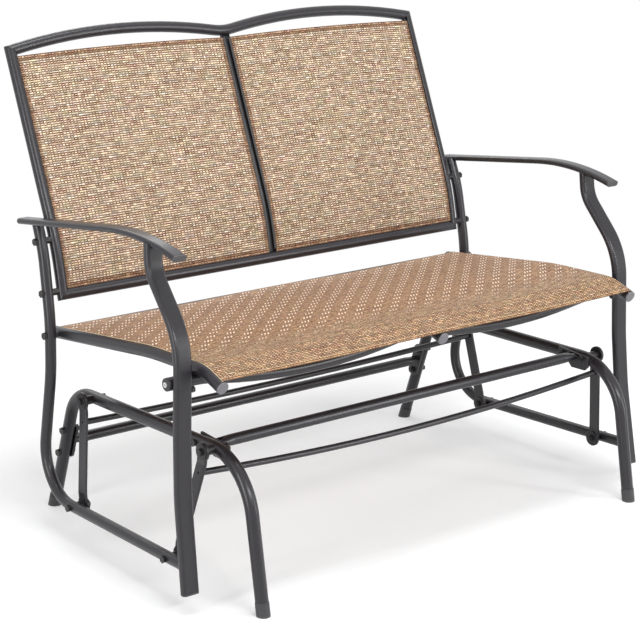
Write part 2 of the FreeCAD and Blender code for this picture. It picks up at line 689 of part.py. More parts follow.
def make_side_frames():
    write_pair("rear_post", build_post())
    write_pair("front_leg", build_leg())
    write_pair("armrest", oval_tube(arm_path(0), ARM_W, ARM_T, ARM_ROUND, OVAL_WALL))
    write("leg_caps", both_sides([leg_cap()]))
    write("armrest_front_caps", both_sides([arm_cap(2)]))
    write("armrest_rear_caps", both_sides([arm_cap(0)]))
    lower_bolts = []
    lower_nuts = []
    lower_spacers = []
    lower_washers = []
    for pivot in (REAR_LOW, FRONT_LOW):
        centre = rail_centre(pivot)
        seat_x = centre.x + FRAME_D / 2 + HEAD_STANDOFF
        link_in = pivot.x - LINK_T / 2 - AXIAL_GAP
        link_out = pivot.x + LINK_T / 2 + AXIAL_GAP
        nut_x = link_in - WASHER_T
        lower_bolts.append(bolt(V(seat_x, pivot.y, pivot.z), IN,
                                seat_x - nut_x + NUT_H + THREAD_PAST_NUT))
        lower_nuts.append(nut(V(nut_x, pivot.y, pivot.z), IN))
        sleeve = cylinder(V(link_out, pivot.y, pivot.z), OUT, centre.x - link_out, SPACER_D)
        sleeve = sleeve.cut(bar(post_path(), FRAME_D))
        lower_spacers.append(drill(sleeve, pivot, OUT, BOLT_D))
        lower_washers.append(washer(V(link_in, pivot.y, pivot.z), IN))
    write("lower_pivot_bolts", both_sides(lower_bolts))
    write("lower_pivot_nuts", both_sides(lower_nuts))
    write("lower_pivot_spacers", both_sides(lower_spacers))
    write("lower_pivot_washers", both_sides(lower_washers))


# Backrest

BACK_TOP = V(BACK_X, BACK_TOP_Y, BACK_TOP_Z)
BACK_KNEE = V(BACK_X, BACK_KNEE_Y, BACK_KNEE_Z)
BACK_LOW = V(BACK_X, BACK_LOW_Y, BACK_LOW_Z)
BACK_UP = (BACK_TOP - BACK_KNEE).normalize()
BACK_LOW_UP = (BACK_KNEE - BACK_LOW).normalize()
BACK_FRONT = V(0, -BACK_UP.z, BACK_UP.y)
BACK_LOW_FRONT = V(0, -BACK_LOW_UP.z, BACK_LOW_UP.y)


def back_line(forward, past_top, past_low):
    """Path down the backrest at x = 0, moved forward of the side tube line."""
    top = V(0, BACK_TOP.y, BACK_TOP.z) + BACK_FRONT * forward + BACK_UP * past_top
    low = V(0, BACK_LOW.y, BACK_LOW.z) + BACK_LOW_FRONT * forward - BACK_LOW_UP * past_low
    half_turn = BACK_UP.getAngle(BACK_LOW_UP) / 2
    bisector = (BACK_FRONT + BACK_LOW_FRONT).normalize()
    knee = V(0, BACK_KNEE.y, BACK_KNEE.z) + bisector * (forward / math.cos(half_turn))
    return corner_path([top, knee, low], [BACK_KNEE_R - forward])


def back_tube(line, x, sides, offset):
    """Tube along the back line, slotted for the sling on the named sides."""
    line = line.copy()
    line.translate(V(x, 0, 0))
    body = tube(line, BACK_D, BACK_WALL)
    low = offset - SLOT_W / 2
    for side in sides:
        corners = [V(0, low, 0), V(side * BACK_D, low, 0),
                   V(side * BACK_D, low + SLOT_W, 0), V(0, low + SLOT_W, 0)]
        cutter = Part.makePolygon(corners + corners[:1])
        cutter.Placement = frame_at(line.OrderedVertexes[0].Point, BACK_UP * -1, V(1, 0, 0))
        body = body.cut(sweep(line, [cutter]))
    return body


def arch_path(out_to):
    """Double arch of the top tube as offsets (x, up the back) from the top corners."""
    peak = ARCH_R - math.sqrt(ARCH_R ** 2 - (BACK_X - ARCH_PEAK_X) ** 2)
    centre_up = peak - ARCH_R
    middle_up = centre_up + math.sqrt((ARCH_R + ARCH_MIDDLE_R) ** 2 - ARCH_PEAK_X ** 2)
    share = ARCH_R / (ARCH_R + ARCH_MIDDLE_R)
    touch = (ARCH_PEAK_X * (1 - share), centre_up + (middle_up - centre_up) * share)

    def place(x, up):
        return V(x, BACK_TOP.y, BACK_TOP.z) + BACK_UP * up

    def on_arch(x):
        return (x, centre_up + math.sqrt(ARCH_R ** 2 - (x - ARCH_PEAK_X) ** 2))

    end = on_arch(out_to)
    middle = on_arch((touch[0] + out_to) / 2)
    low = (0, middle_up - ARCH_MIDDLE_R)

    def arc(a, b, c, sign):
        points = [place(sign * p[0], p[1]) for p in (a, b, c)]
        return Part.Arc(points[0], points[1], points[2]).toShape()

    right = arc(touch, middle, end, 1)
    left = arc(end, middle, touch, -1)
    centre = Part.Arc(place(-touch[0], touch[1]), place(0, low[1]),
                      place(touch[0], touch[1])).toShape()
    return Part.Wire([left, centre, right])


def arch_end_direction():
    return math.atan2(BACK_X - ARCH_PEAK_X, math.sqrt(ARCH_R ** 2 - (BACK_X - ARCH_PEAK_X) ** 2))


def top_mitre():
    """Plane through the top corner that halves the angle between arch and side tube."""
    angle = arch_end_direction()
    inward = OUT * -math.cos(angle) + BACK_UP * math.sin(angle)
    downward = BACK_UP * -1
    return (inward - downward).normalize()


def low_mitre():
    return (IN - BACK_LOW_UP).normalize()


def build_back():
    line = back_line(0, 40, 40)
    side = back_tube(line, BACK_X, [-1], BACK_SLING_OFFSET)
    side = side.cut(beyond(BACK_TOP, top_mitre()))
    side = side.cut(beyond(BACK_LOW, low_mitre()))
    for point in POST_BOLTS:
        side = side.cut(cylinder(V(BACK_X, point.y, point.z), OUT, 60, BOLT_D))
    write_pair("back_side_tube", side)
    arch = arch_path(BACK_X + 40)
    top = tube(arch, BACK_D, BACK_WALL)
    top_cut = beyond(BACK_TOP, top_mitre() * -1)
    write("back_top_tube", top.cut(top_cut).cut(mirrored(top_cut)))
    low_path = Part.Wire([Part.LineSegment(V(-BACK_X - 40, BACK_LOW.y, BACK_LOW.z),
                                           V(BACK_X + 40, BACK_LOW.y, BACK_LOW.z)).toShape()])
    low = tube(low_path, BACK_D, BACK_WALL)
    low_cut = beyond(BACK_LOW, low_mitre() * -1)
    write("back_low_tube", low.cut(low_cut).cut(mirrored(low_cut)))
    centre_line = back_line(CENTRE_TUBE_FORWARD, 30, 20)
    centre = back_tube(centre_line, 0, [-1, 1], BACK_SLING_OFFSET - CENTRE_TUBE_FORWARD)
    centre = centre.cut(bar(arch, BACK_D)).cut(bar(low_path, BACK_D))
    write("back_centre_tube", sorted(centre.Solids, key=lambda s: s.Volume)[-1])


def trimmed_back(shape):
    top_z = BACK_TOP_Z - SLING_BELOW_TOP
    low_z = BACK_LOW_Z + SLING_ABOVE_LOW
    return shape.cut([beyond(V(0, back_y(top_z), top_z), BACK_UP),
                      beyond(V(0, back_y(low_z), low_z), BACK_LOW_UP * -1)])


ROD_INSET = BACK_D / 2 - BACK_WALL - SLING_ROD_D / 2 - SLING_ROD_GAP
SIDE_ROD_FORWARD = BACK_SLING_OFFSET - SLING_ROD_SETBACK
SIDE_ROD_INSET = math.sqrt(ROD_INSET ** 2 - SIDE_ROD_FORWARD ** 2)


def back_rod(x, forward):
    """Plastic rod that holds the sling edge inside the slotted tube."""
    line = back_line(forward, 0, 0)
    line.translate(V(x, 0, 0))
    return trimmed_back(bar(line, SLING_ROD_D))


def make_back():
    build_back()
    start_x = ROD_INSET + SLING_ROD_D / 2
    end_x = BACK_X - SIDE_ROD_INSET - SLING_ROD_D / 2
    front = back_line(BACK_SLING_OFFSET + SLING_T / 2, 0, 0)
    rear = back_line(BACK_SLING_OFFSET - SLING_T / 2, 0, 0)
    closing = [Part.LineSegment(a.OrderedVertexes[i].Point, b.OrderedVertexes[i].Point).toShape()
               for a, b, i in ((front, rear, 0), (front, rear, -1))]
    outline = Part.Wire(Part.__sortEdges__(front.Edges + rear.Edges + closing))
    panel = Part.Face(outline).extrude(V(end_x - start_x, 0, 0))
    panel.translate(V(start_x, 0, 0))
    write_pair("back_sling", trimmed_back(panel))
    write("back_sling_rods", both_sides([back_rod(BACK_X - SIDE_ROD_INSET, SIDE_ROD_FORWARD),
                                         back_rod(ROD_INSET, BACK_SLING_OFFSET)]))
    bolts = []
    spacers = []
    for point in POST_BOLTS:
        seat_x = point.x + FRAME_D / 2 + HEAD_STANDOFF
        bolts.append(bolt(V(seat_x, point.y, point.z), IN,
                          seat_x - BACK_X - BACK_D / 2 + POST_BOLT_PAST_WALL))
        sleeve = cylinder(V(BACK_X, point.y, point.z), OUT, point.x - BACK_X, BACK_SPACER_D)
        sleeve = sleeve.cut([bar(post_path(), FRAME_D), bar(back_right_path(), BACK_D)])
        sleeve = sorted(sleeve.Solids, key=lambda s: s.Volume)[-1]
        spacers.append(drill(sleeve, point, OUT, BOLT_D))
    write("back_bolts", both_sides(bolts))
    write("back_spacers", both_sides(spacers))


def back_right_path():
    line = back_line(0, 0, 0)
    line.translate(V(BACK_X, 0, 0))
    return line


# Seat

def seat_line(x, up, past_rear, past_front):
    """Path of a seat rail from back to front, raised square to its straight runs."""
    rear_run = (SEAT_POINTS[1] - SEAT_POINTS[0]).normalize()
    front_run = (SEAT_POINTS[3] - SEAT_POINTS[2]).normalize()
    middle_run = (SEAT_POINTS[2] - SEAT_POINTS[1]).normalize()

    def normal(run):
        return V(0, run.z, -run.y)

    def corner(i, before, after):
        bisector = (normal(before) + normal(after)).normalize()
        return SEAT_POINTS[i] + bisector * (up / bisector.dot(normal(before)))

    points = [SEAT_POINTS[0] + normal(rear_run) * up - rear_run * past_rear,
              corner(1, rear_run, middle_run),
              corner(2, middle_run, front_run),
              SEAT_POINTS[3] + normal(front_run) * up + front_run * past_front]
    path = corner_path(points, [radius + up for radius in SEAT_BENDS])
    path.translate(V(x, 0, 0))
    return path


def seat_rail_z(y):
    """Height of the rail line on its nearly level run over the front tube."""
    share = (SEAT_KNEE_Y - y) / (SEAT_KNEE_Y - SEAT_CROWN_Y)
    return SEAT_KNEE_Z + (SEAT_CROWN_Z - SEAT_KNEE_Z) * share


def leg_line_at(z):
    share = (LEG_KNEE.z - z) / (LEG_KNEE.z - LEG_SHIN.z)
    return LEG_KNEE + (LEG_SHIN - LEG_KNEE) * share


TUBE_HEIGHT_GUESS = SEAT_CROWN_Z - RAIL_D
FRONT_TUBE_Y = leg_line_at(TUBE_HEIGHT_GUESS).y + (LEG_T + FRONT_TUBE_D) / 2 + FRONT_TUBE_GAP
FRONT_TUBE_Z = seat_rail_z(FRONT_TUBE_Y) - (RAIL_D + FRONT_TUBE_D) / 2 + FRONT_TUBE_NOTCH
LEG_BOLT = leg_line_at(FRONT_TUBE_Z - LEG_BOLT_BELOW)


def front_tube_path():
    """Straight over the legs and rails, bowed down between the rails."""
    centre_z = BOW_Z_CENTRE
    share = BOW_R / (BOW_R + BOW_TURN_R)
    touch_x = BOW_LOW_X * (1 - share)
    turn_z = FRONT_TUBE_Z - BOW_TURN_R
    touch_z = turn_z + (centre_z - turn_z) * (1 - share)
    low_z = centre_z - BOW_R
    straight_x = 2 * BOW_LOW_X
    outer_touch = straight_x - touch_x
    diagonal = math.atan2(touch_x, touch_z - turn_z) / 2
    mid_x = BOW_TURN_R * math.sin(diagonal)
    mid_z = turn_z + BOW_TURN_R * math.cos(diagonal)

    def at(x, z):
        return V(x, FRONT_TUBE_Y, z)

    edges = []
    for sign in (-1, 1):
        run = [at(sign * FRONT_TUBE_HALF, FRONT_TUBE_Z), at(sign * straight_x, FRONT_TUBE_Z),
               at(sign * (straight_x - mid_x), mid_z), at(sign * outer_touch, touch_z),
               at(sign * BOW_LOW_X, low_z), at(sign * touch_x, touch_z)]
        part = [Part.LineSegment(run[0], run[1]).toShape(),
                Part.Arc(run[1], run[2], run[3]).toShape(),
                Part.Arc(run[3], run[4], run[5]).toShape()]
        edges.append(part)
    middle = Part.Arc(at(-touch_x, touch_z), at(0, FRONT_TUBE_Z), at(touch_x, touch_z)).toShape()
    return Part.Wire(edges[0] + [middle] + edges[1][::-1])


BOW_Z_CENTRE = (FRONT_TUBE_Z - BOW_TURN_R
                + math.sqrt((BOW_R + BOW_TURN_R) ** 2 - BOW_LOW_X ** 2))


def front_tube():
    """Bowed cross tube, notched for the three rails that lie on it."""
    body = tube(front_tube_path(), FRONT_TUBE_D, RAIL_WALL)
    rails = [bar(seat_line(x, 0, 0, 0), RAIL_D + 2 * SADDLE_CLEAR) for x in (-RAIL_X, 0, RAIL_X)]
    return body.cut(rails)


def rear_tube():
    span = RAIL_X
    body = cylinder(V(-span, SEAT_REAR_Y, SEAT_REAR_Z), OUT, 2 * span, REAR_TUBE_D)
    bore = cylinder(V(-span, SEAT_REAR_Y, SEAT_REAR_Z), OUT, 2 * span,
                    REAR_TUBE_D - 2 * RAIL_WALL)
    body = body.cut(bore)
    for x in (RAIL_X, -RAIL_X):
        body = body.cut(bar(seat_line(x, 0, 2 * RAIL_PAST_TUBE, 0), RAIL_D))
    return sorted(body.Solids, key=lambda s: s.Volume)[-1]


def side_rail():
    """Outer seat rail, slotted along its top for the sling."""
    path = seat_line(RAIL_X, 0, RAIL_PAST_TUBE, 0)
    rail = tube(path, RAIL_D, RAIL_WALL)
    half = SLOT_W / 2
    corners = [V(-half, 2, 0), V(half, 2, 0), V(half, RAIL_D, 0), V(-half, RAIL_D, 0)]
    cutter = Part.makePolygon(corners + corners[:1])
    start = path.OrderedVertexes[0].Point
    cutter.Placement = frame_at(start, start_direction(path), V(-1, 0, 0))
    rail = rail.cut(sweep(path, [cutter]))
    return rail.cut(cylinder(V(RAIL_X, SEAT_BOLT.y, SEAT_BOLT.z), OUT, 60, BOLT_D))


def centre_rail():
    rail = tube(seat_line(0, 0, 0, 0), RAIL_D, RAIL_WALL)
    rail = rail.cut(cylinder(V(-30, SEAT_REAR_Y, SEAT_REAR_Z), OUT, 60, REAR_TUBE_D))
    return sorted(rail.Solids, key=lambda s: s.Volume)[-1]


def trimmed_seat(shape, front_inset):
    return shape.cut([beyond(V(0, SEAT_REAR_Y - SLING_REAR_INSET, 0), V(0, 1, 0)),
                      beyond(V(0, SEAT_END_Y + front_inset, 0), V(0, -1, 0))])


def seat_sling():
    """One stretched panel over all three rails, both edges turned down into the slots."""
    up = RAIL_D / 2 + SLING_LIFT + SLING_T / 2
    rod_up = RAIL_D / 2 - RAIL_WALL - SLING_ROD_D / 2
    half = RAIL_X + SLING_T / 2
    path = seat_line(0, up, 20, 20)
    start = path.OrderedVertexes[0].Point
    top = SLING_T / 2
    low = rod_up + SLING_ROD_D / 2 - up
    corners = [V(-half, low, 0), V(-half, top, 0), V(half, top, 0), V(half, low, 0),
               V(half - SLING_T, low, 0), V(half - SLING_T, -top, 0),
               V(SLING_T - half, -top, 0), V(SLING_T - half, low, 0)]
    profile = Part.makePolygon(corners + corners[:1])
    profile.Placement = frame_at(start, start_direction(path), V(-1, 0, 0))
    return trimmed_seat(sweep(path, [profile]), SLING_FRONT_INSET)


def seat_sling_rods():
    rod_up = RAIL_D / 2 - RAIL_WALL - SLING_ROD_D / 2
    rod = bar(seat_line(RAIL_X, rod_up, 20, 20), SLING_ROD_D)
    return trimmed_seat(rod, SLING_FRONT_INSET + CAP_STEM)


def make_seat():
    write_pair("seat_side_rail", side_rail())
    write("seat_centre_rail", centre_rail())
    write("seat_rear_tube", rear_tube())
    write("seat_front_tube", front_tube())
    end_run = SEAT_POINTS[3] - SEAT_POINTS[2]
    tips = [V(x, SEAT_END_Y, SEAT_END_Z) for x in (-RAIL_X, 0, RAIL_X)]
    write("seat_rail_front_caps", Part.makeCompound(
        [round_end_cap(tip, end_run, RAIL_D, RAIL_WALL) for tip in tips]))
    back_run = (SEAT_POINTS[0] - SEAT_POINTS[1]).normalize()
    rear_tip = V(RAIL_X, SEAT_REAR_Y, SEAT_REAR_Z) + back_run * RAIL_PAST_TUBE
    write("seat_rail_rear_caps", both_sides([round_end_cap(rear_tip, back_run,
                                                           RAIL_D, RAIL_WALL)]))
    end = V(FRONT_TUBE_HALF, FRONT_TUBE_Y, FRONT_TUBE_Z)
    plug = round_end_cap(end, OUT, FRONT_TUBE_D, RAIL_WALL)
    screw_seat = end + OUT * CAP_FLANGE
    plug = plug.cut(cylinder(screw_seat - OUT * 40, OUT, 41, 5))
    write("front_tube_plugs", both_sides([plug]))
    screw = cylinder(screw_seat, OUT, 2.2, 10).fuse(cylinder(screw_seat - OUT * 12, OUT, 12, 5))
    screw = screw.cut(hexagon(screw_seat + OUT * 0.8, OUT, 3, 4)).removeSplitter()
    write("front_tube_plug_screws", both_sides([screw]))
    write("seat_sling", seat_sling())
    write("seat_sling_rods", both_sides([seat_sling_rods()]))
    seat_x = SEAT_BOLT.x + FRAME_D / 2 + HEAD_STANDOFF
    write("seat_rear_bolts", both_sides([bolt(V(seat_x, SEAT_BOLT.y, SEAT_BOLT.z), IN,
                                              seat_x - RAIL_X - RAIL_D / 2
                                              + POST_BOLT_PAST_WALL)]))
    sleeve = cylinder(V(RAIL_X, SEAT_BOLT.y, SEAT_BOLT.z), OUT, SEAT_BOLT.x - RAIL_X,
                      BACK_SPACER_D)
    sleeve = sleeve.cut([bar(post_path(), FRAME_D),
                         bar(seat_line(RAIL_X, 0, RAIL_PAST_TUBE, 0), RAIL_D)])
    sleeve = sorted(sleeve.Solids, key=lambda s: s.Volume)[-1]
    write("seat_rear_spacers", both_sides([drill(sleeve, SEAT_BOLT, OUT, BOLT_D)]))
    face = V(LEG_BOLT.x - LEG_W / 2 - HEAD_STANDOFF, LEG_BOLT.y, LEG_BOLT.z)
    head = hexagon(face, IN, LEG_BOLT_HEAD, LEG_BOLT_AF)
    leg_bolt = head.fuse(cylinder(face, OUT, 2 * LEG_BOLT_D, LEG_BOLT_D))
    write("leg_bolts", both_sides([leg_bolt.removeSplitter()]))


make_base()
make_links()
make_side_frames()
make_back()
make_seat()
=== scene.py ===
import math

import bmesh
import bpy
from mathutils import Matrix, Vector


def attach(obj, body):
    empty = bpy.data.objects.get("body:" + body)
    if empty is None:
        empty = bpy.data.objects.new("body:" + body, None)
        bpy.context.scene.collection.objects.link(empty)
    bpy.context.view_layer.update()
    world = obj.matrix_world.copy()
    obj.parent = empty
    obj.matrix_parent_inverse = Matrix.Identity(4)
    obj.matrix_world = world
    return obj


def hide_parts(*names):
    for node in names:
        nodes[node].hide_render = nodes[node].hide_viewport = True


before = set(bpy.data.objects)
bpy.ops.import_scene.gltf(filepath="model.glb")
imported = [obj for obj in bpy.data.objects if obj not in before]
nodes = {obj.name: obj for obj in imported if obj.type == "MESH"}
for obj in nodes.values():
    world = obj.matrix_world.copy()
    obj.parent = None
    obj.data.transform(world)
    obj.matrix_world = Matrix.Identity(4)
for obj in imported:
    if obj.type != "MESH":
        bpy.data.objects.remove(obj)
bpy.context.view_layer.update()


# Camera
# It stands in front of the bench's left end, a little above the armrests, and looks down a little.
# The long lens is the one that gives the photograph's perspective.
azimuth = math.radians(-39.04)
elevation = math.radians(15.25)
roll = math.radians(0.53)
to_camera = Vector((math.sin(azimuth) * math.cos(elevation),
                    -math.cos(azimuth) * math.cos(elevation),
                    math.sin(elevation)))
level_right = Vector((0, 0, 1)).cross(to_camera).normalized()
level_up = to_camera.cross(level_right)
camera_right = level_right * math.cos(roll) + level_up * math.sin(roll)
camera_up = level_up * math.cos(roll) - level_right * math.sin(roll)
camera_data = bpy.data.cameras.new("camera")
camera_data.sensor_width = 36.0
camera_data.lens = 111.4
camera_data.clip_start = 0.1
camera_data.clip_end = 60.0
camera = bpy.data.objects.new("camera", camera_data)
turn = Matrix((camera_right, camera_up, to_camera)).transposed().to_4x4()
camera.matrix_world = Matrix.Translation((-2.5153, -3.0537, 1.4859)) @ turn
bpy.context.scene.collection.objects.link(camera)
bpy.context.scene.camera = camera
bpy.context.scene.view_settings.view_transform = "Standard"


# Floor and studio light
# A plain pale floor that keeps a soft shadow under the bench, with a white room behind it.
# Soft boxes stand in front, behind, at both sides and overhead.
def add_node(tree, kind, sockets=None, **settings):
    """One shader node, with its sockets set to a value or joined to another node's output."""
    node = tree.nodes.new("ShaderNode" + kind)
    for name, value in settings.items():
        setattr(node, name, value)
    for key, value in (sockets or {}).items():
        if isinstance(value, bpy.types.NodeSocket):
            tree.links.new(value, node.inputs[key])
        else:
            node.inputs[key].default_value = value
    return node


def calc(tree, operation, *values):
    """The output of one Math node."""
    return add_node(tree, "Math", dict(enumerate(values)), operation=operation).outputs[0]


def remap(tree, value, from_min, from_max, to_min=0.0, to_max=1.0):
    """The output of one Map Range node."""
    return add_node(tree, "MapRange", {"Value": value, "From Min": from_min, "From Max": from_max,
                                       "To Min": to_min, "To Max": to_max}).outputs[0]


def sees_background(tree):
    """1 for what the camera sees, straight, mirrored or through a clear piece, 0 for spread light."""
    path = add_node(tree, "LightPath")
    seen = calc(tree, "MAXIMUM", path.outputs["Is Camera Ray"], path.outputs["Is Glossy Ray"])
    return calc(tree, "MAXIMUM", seen, path.outputs["Is Transmission Ray"])


WHITE = (1, 1, 1, 1)
FLOOR_GREY = (0.80, 0.80, 0.80, 1)
FLOOR_GLOW = (0.955, 0.975, 1, 1)
NEAR_FLOOR = 0.95
FAR_FLOOR = 1.9
FLOOR_HALF = 14.0
floor_material = bpy.data.materials.new("pale_floor")
floor_material.use_nodes = True
tree = floor_material.node_tree
tree.nodes.clear()
ground = add_node(tree, "BsdfDiffuse", {"Color": FLOOR_GREY})
glow = add_node(tree, "Emission", {"Color": FLOOR_GLOW, "Strength": 0.27})
near = add_node(tree, "AddShader", {0: ground.outputs[0], 1: glow.outputs[0]})
from_middle = add_node(tree, "VectorMath", {0: add_node(tree, "TexCoord").outputs["Object"]},
                       operation="LENGTH").outputs["Value"]
far_share = remap(tree, from_middle, NEAR_FLOOR, FAR_FLOOR)
far = add_node(tree, "Emission", {"Color": WHITE, "Strength": 1.0})
seen_floor = add_node(tree, "MixShader", {0: far_share, 1: near.outputs[0], 2: far.outputs[0]})
floor_mix = add_node(tree, "MixShader", {0: sees_background(tree), 1: ground.outputs[0],
                                         2: seen_floor.outputs[0]})
add_node(tree, "OutputMaterial", {"Surface": floor_mix.outputs[0]})

floor_shape = bmesh.new()
bmesh.ops.create_grid(floor_shape, x_segments=1, y_segments=1, size=FLOOR_HALF)
floor_mesh = bpy.data.meshes.new("floor")
floor_shape.to_mesh(floor_mesh)
floor_shape.free()
floor = bpy.data.objects.new("floor", floor_mesh)
floor_mesh.materials.append(floor_material)
bpy.context.scene.collection.objects.link(floor)

room = bpy.data.worlds.new("white_room")
bpy.context.scene.world = room
room.use_nodes = True
tree = room.node_tree
tree.nodes.clear()
soft_fill = add_node(tree, "Background", {"Color": WHITE, "Strength": 0.48})
white_wall = add_node(tree, "Background", {"Color": WHITE, "Strength": 1.0})
room_mix = add_node(tree, "MixShader", {0: sees_background(tree), 1: soft_fill.outputs[0],
                                        2: white_wall.outputs[0]})
add_node(tree, "OutputWorld", {"Surface": room_mix.outputs[0]})


def soft_box(name, place, aim, width, height, power):
    """One rectangular studio lamp, turned towards a point."""
    lamp_data = bpy.data.lights.new(name, "AREA")
    lamp_data.shape = "RECTANGLE"
    lamp_data.size = width
    lamp_data.size_y = height
    lamp_data.energy = power
    lamp = bpy.data.objects.new(name, lamp_data)
    lamp.location = place
    lamp.rotation_euler = (Vector(aim) - Vector(place)).to_track_quat("-Z", "Y").to_euler()
    bpy.context.scene.collection.objects.link(lamp)


soft_box("overhead_box", (0.0, -0.3, 3.4), (0, 0, 0), 1.8, 0.8, 49.0)
soft_box("front_box", (-0.5, -3.8, 2.6), (0, 0, 0.5), 2.4, 0.6, 86.0)
soft_box("left_strip", (-3.2, -0.6, 1.0), (0, 0, 0.5), 0.45, 1.8, 36.0)
soft_box("right_strip", (2.2, -3.2, 1.0), (0, 0, 0.4), 0.45, 1.8, 36.0)
soft_box("rear_box", (0.4, 2.6, 2.4), (0, 0, 0.6), 2.4, 0.6, 22.0)


# Base hoops
# Two bent steel tubes, each with a front leg, a nearly level rail and a leaning rear leg.
# They are powder coated in satin charcoal.
def start_material(name):
    """A new material with its node tree and its surface shader."""
    material = bpy.data.materials.new(name)
    material.use_nodes = True
    tree = material.node_tree
    return material, tree, tree.nodes["Principled BSDF"]


def object_place(tree):
    """The place on the piece, in metres."""
    return add_node(tree, "TexCoord").outputs["Object"]


def noise(tree, place, scale, detail):
    """The value of one Noise Texture node."""
    return add_node(tree, "TexNoise", {"Vector": place, "Scale": scale, "Detail": detail}).outputs["Fac"]


def blend_colour(tree, share, first, second, blend_type="MIX"):
    """Two colours blended by a share."""
    return add_node(tree, "Mix", {0: share, 6: first, 7: second}, data_type="RGBA",
                    blend_type=blend_type).outputs[2]


def clouded(tree, share, tone, least, most):
    """A tone that wanders between two shares of itself."""
    low = tuple(least * c for c in tone) + (1,)
    high = tuple(most * c for c in tone) + (1,)
    return blend_colour(tree, share, low, high)


def on_edges(tree, radius, flat, most):
    """0 on a flat face and up to most on a corner, where a rounded normal leaves the true one."""
    rounded = add_node(tree, "Bevel", {"Radius": radius}, samples=4)
    normal = add_node(tree, "NewGeometry").outputs["Normal"]
    match = add_node(tree, "VectorMath", {0: rounded.outputs[0], 1: normal}, operation="DOT_PRODUCT")
    return remap(tree, match.outputs["Value"], flat, 0.80, to_max=most)


def powder_coat(name, tone, edge_wear):
    """Satin charcoal powder coat with a fine orange peel, paler where edges rub."""
    material, tree, shader = start_material(name)
    place = object_place(tree)
    clouds = noise(tree, place, 11.0, 4.0)
    coat = clouded(tree, clouds, tone, 0.84, 1.18)
    fleck = remap(tree, noise(tree, place, 2200.0, 1.0), 0.62, 0.74, to_max=0.35)
    colour = blend_colour(tree, fleck, coat, PALE_FLECK)
    if edge_wear:
        worn = calc(tree, "MULTIPLY", on_edges(tree, 0.0011, 0.97, edge_wear), clouds)
        colour = blend_colour(tree, worn, colour, RUBBED_COAT)
    tree.links.new(colour, shader.inputs["Base Color"])
    tree.links.new(remap(tree, clouds, 0.0, 1.0, 0.36, 0.46), shader.inputs["Roughness"])
    eased = add_node(tree, "Bevel", {"Radius": 0.003}, samples=8).outputs[0]
    bump = add_node(tree, "Bump", {"Strength": 0.22, "Distance": 0.0003, "Normal": eased,
                                   "Height": noise(tree, place, 700.0, 3.0)})
    tree.links.new(bump.outputs[0], shader.inputs["Normal"])
    tree.links.new(eased, shader.inputs["Coat Normal"])
    shader.inputs["Specular IOR Level"].default_value = 0.2
    shader.inputs["Coat Weight"].default_value = 0.5
    shader.inputs["Coat Roughness"].default_value = 0.24
    return material


def finish_nodes(material, *names):
    """Gives carried-over CAD pieces their finish."""
    for name in names:
        mesh = nodes[name].data
        mesh.materials.clear()
        mesh.materials.append(material)


CHARCOAL = (0.0155, 0.0136, 0.0172)
PALE_FLECK = (0.16, 0.16, 0.175, 1)
RUBBED_COAT = (0.30, 0.30, 0.31, 1)
tube_coat = powder_coat("charcoal_tube_coat", CHARCOAL, 0.0)
plate_coat = powder_coat("charcoal_plate_coat", CHARCOAL, 0.5)
finish_nodes(tube_coat, "left_base_hoop", "right_base_hoop")


# Stretchers and saddle plates
# Two steel tubes with flattened ends cross between the hoops. Each end is held by a pressed plate
# that seats on the hoop and is bolted to it.
finish_nodes(tube_coat, "front_stretcher", "rear_stretcher")
finish_nodes(plate_coat, "left_front_saddle_plate", "right_front_saddle_plate",
             "left_rear_saddle_plate", "right_rear_saddle_plate")


# Foot caps
# Moulded rubber cups pushed over the four cut ends of the hoops. They carry the bench.
def moulded(name, tone, rough, grain):
    """Black moulded rubber or plastic with a fine texture and dust near the floor."""
    material, tree, shader = start_material(name)
    place = object_place(tree)
    clouds = noise(tree, place, 60.0, 3.0)
    body = clouded(tree, clouds, tone, 0.75, 1.25)
    height = add_node(tree, "SeparateXYZ", {0: place}).outputs["Z"]
    dusty = calc(tree, "MULTIPLY", remap(tree, height, DUST_HEIGHT, 0.0, to_max=0.35), clouds)
    tree.links.new(blend_colour(tree, dusty, body, DUST), shader.inputs["Base Color"])
    tree.links.new(remap(tree, clouds, 0.0, 1.0, rough - 0.06, rough + 0.06), shader.inputs["Roughness"])
    bump = add_node(tree, "Bump", {"Strength": 0.35, "Distance": 0.0002,
                                   "Height": noise(tree, place, grain, 3.0)})
    tree.links.new(bump.outputs[0], shader.inputs["Normal"])
    return material


DUST = (0.22, 0.20, 0.18, 1)
DUST_HEIGHT = 0.006
foot_rubber = moulded("foot_rubber", (0.034, 0.033, 0.036), 0.48, 900.0)
finish_nodes(foot_rubber, "front_foot_caps", "rear_foot_caps")


# Bolts, nuts, washers and spacers
# Hexagon head bolts of 8 mm with nuts, in black zinc. They hold the plates and the backrest, and
# they are the axles of the links, with spacers and washers beside each link.
def black_zinc(name, tone):
    """Blackened steel, worn to bare metal on its corners."""
    material, tree, shader = start_material(name)
    place = object_place(tree)
    scratches = noise(tree, place, 900.0, 2.0)
    body = clouded(tree, noise(tree, place, 140.0, 4.0), tone, 0.7, 1.3)
    worn = calc(tree, "MULTIPLY", on_edges(tree, 0.0006, 0.96, 0.8), scratches)
    tree.links.new(blend_colour(tree, worn, body, BARE_STEEL), shader.inputs["Base Color"])
    tree.links.new(remap(tree, scratches, 0.0, 1.0, 0.30, 0.50), shader.inputs["Roughness"])
    bump = add_node(tree, "Bump", {"Strength": 0.2, "Distance": 0.0001, "Height": scratches})
    tree.links.new(bump.outputs[0], shader.inputs["Normal"])
    shader.inputs["Metallic"].default_value = 0.55
    return material


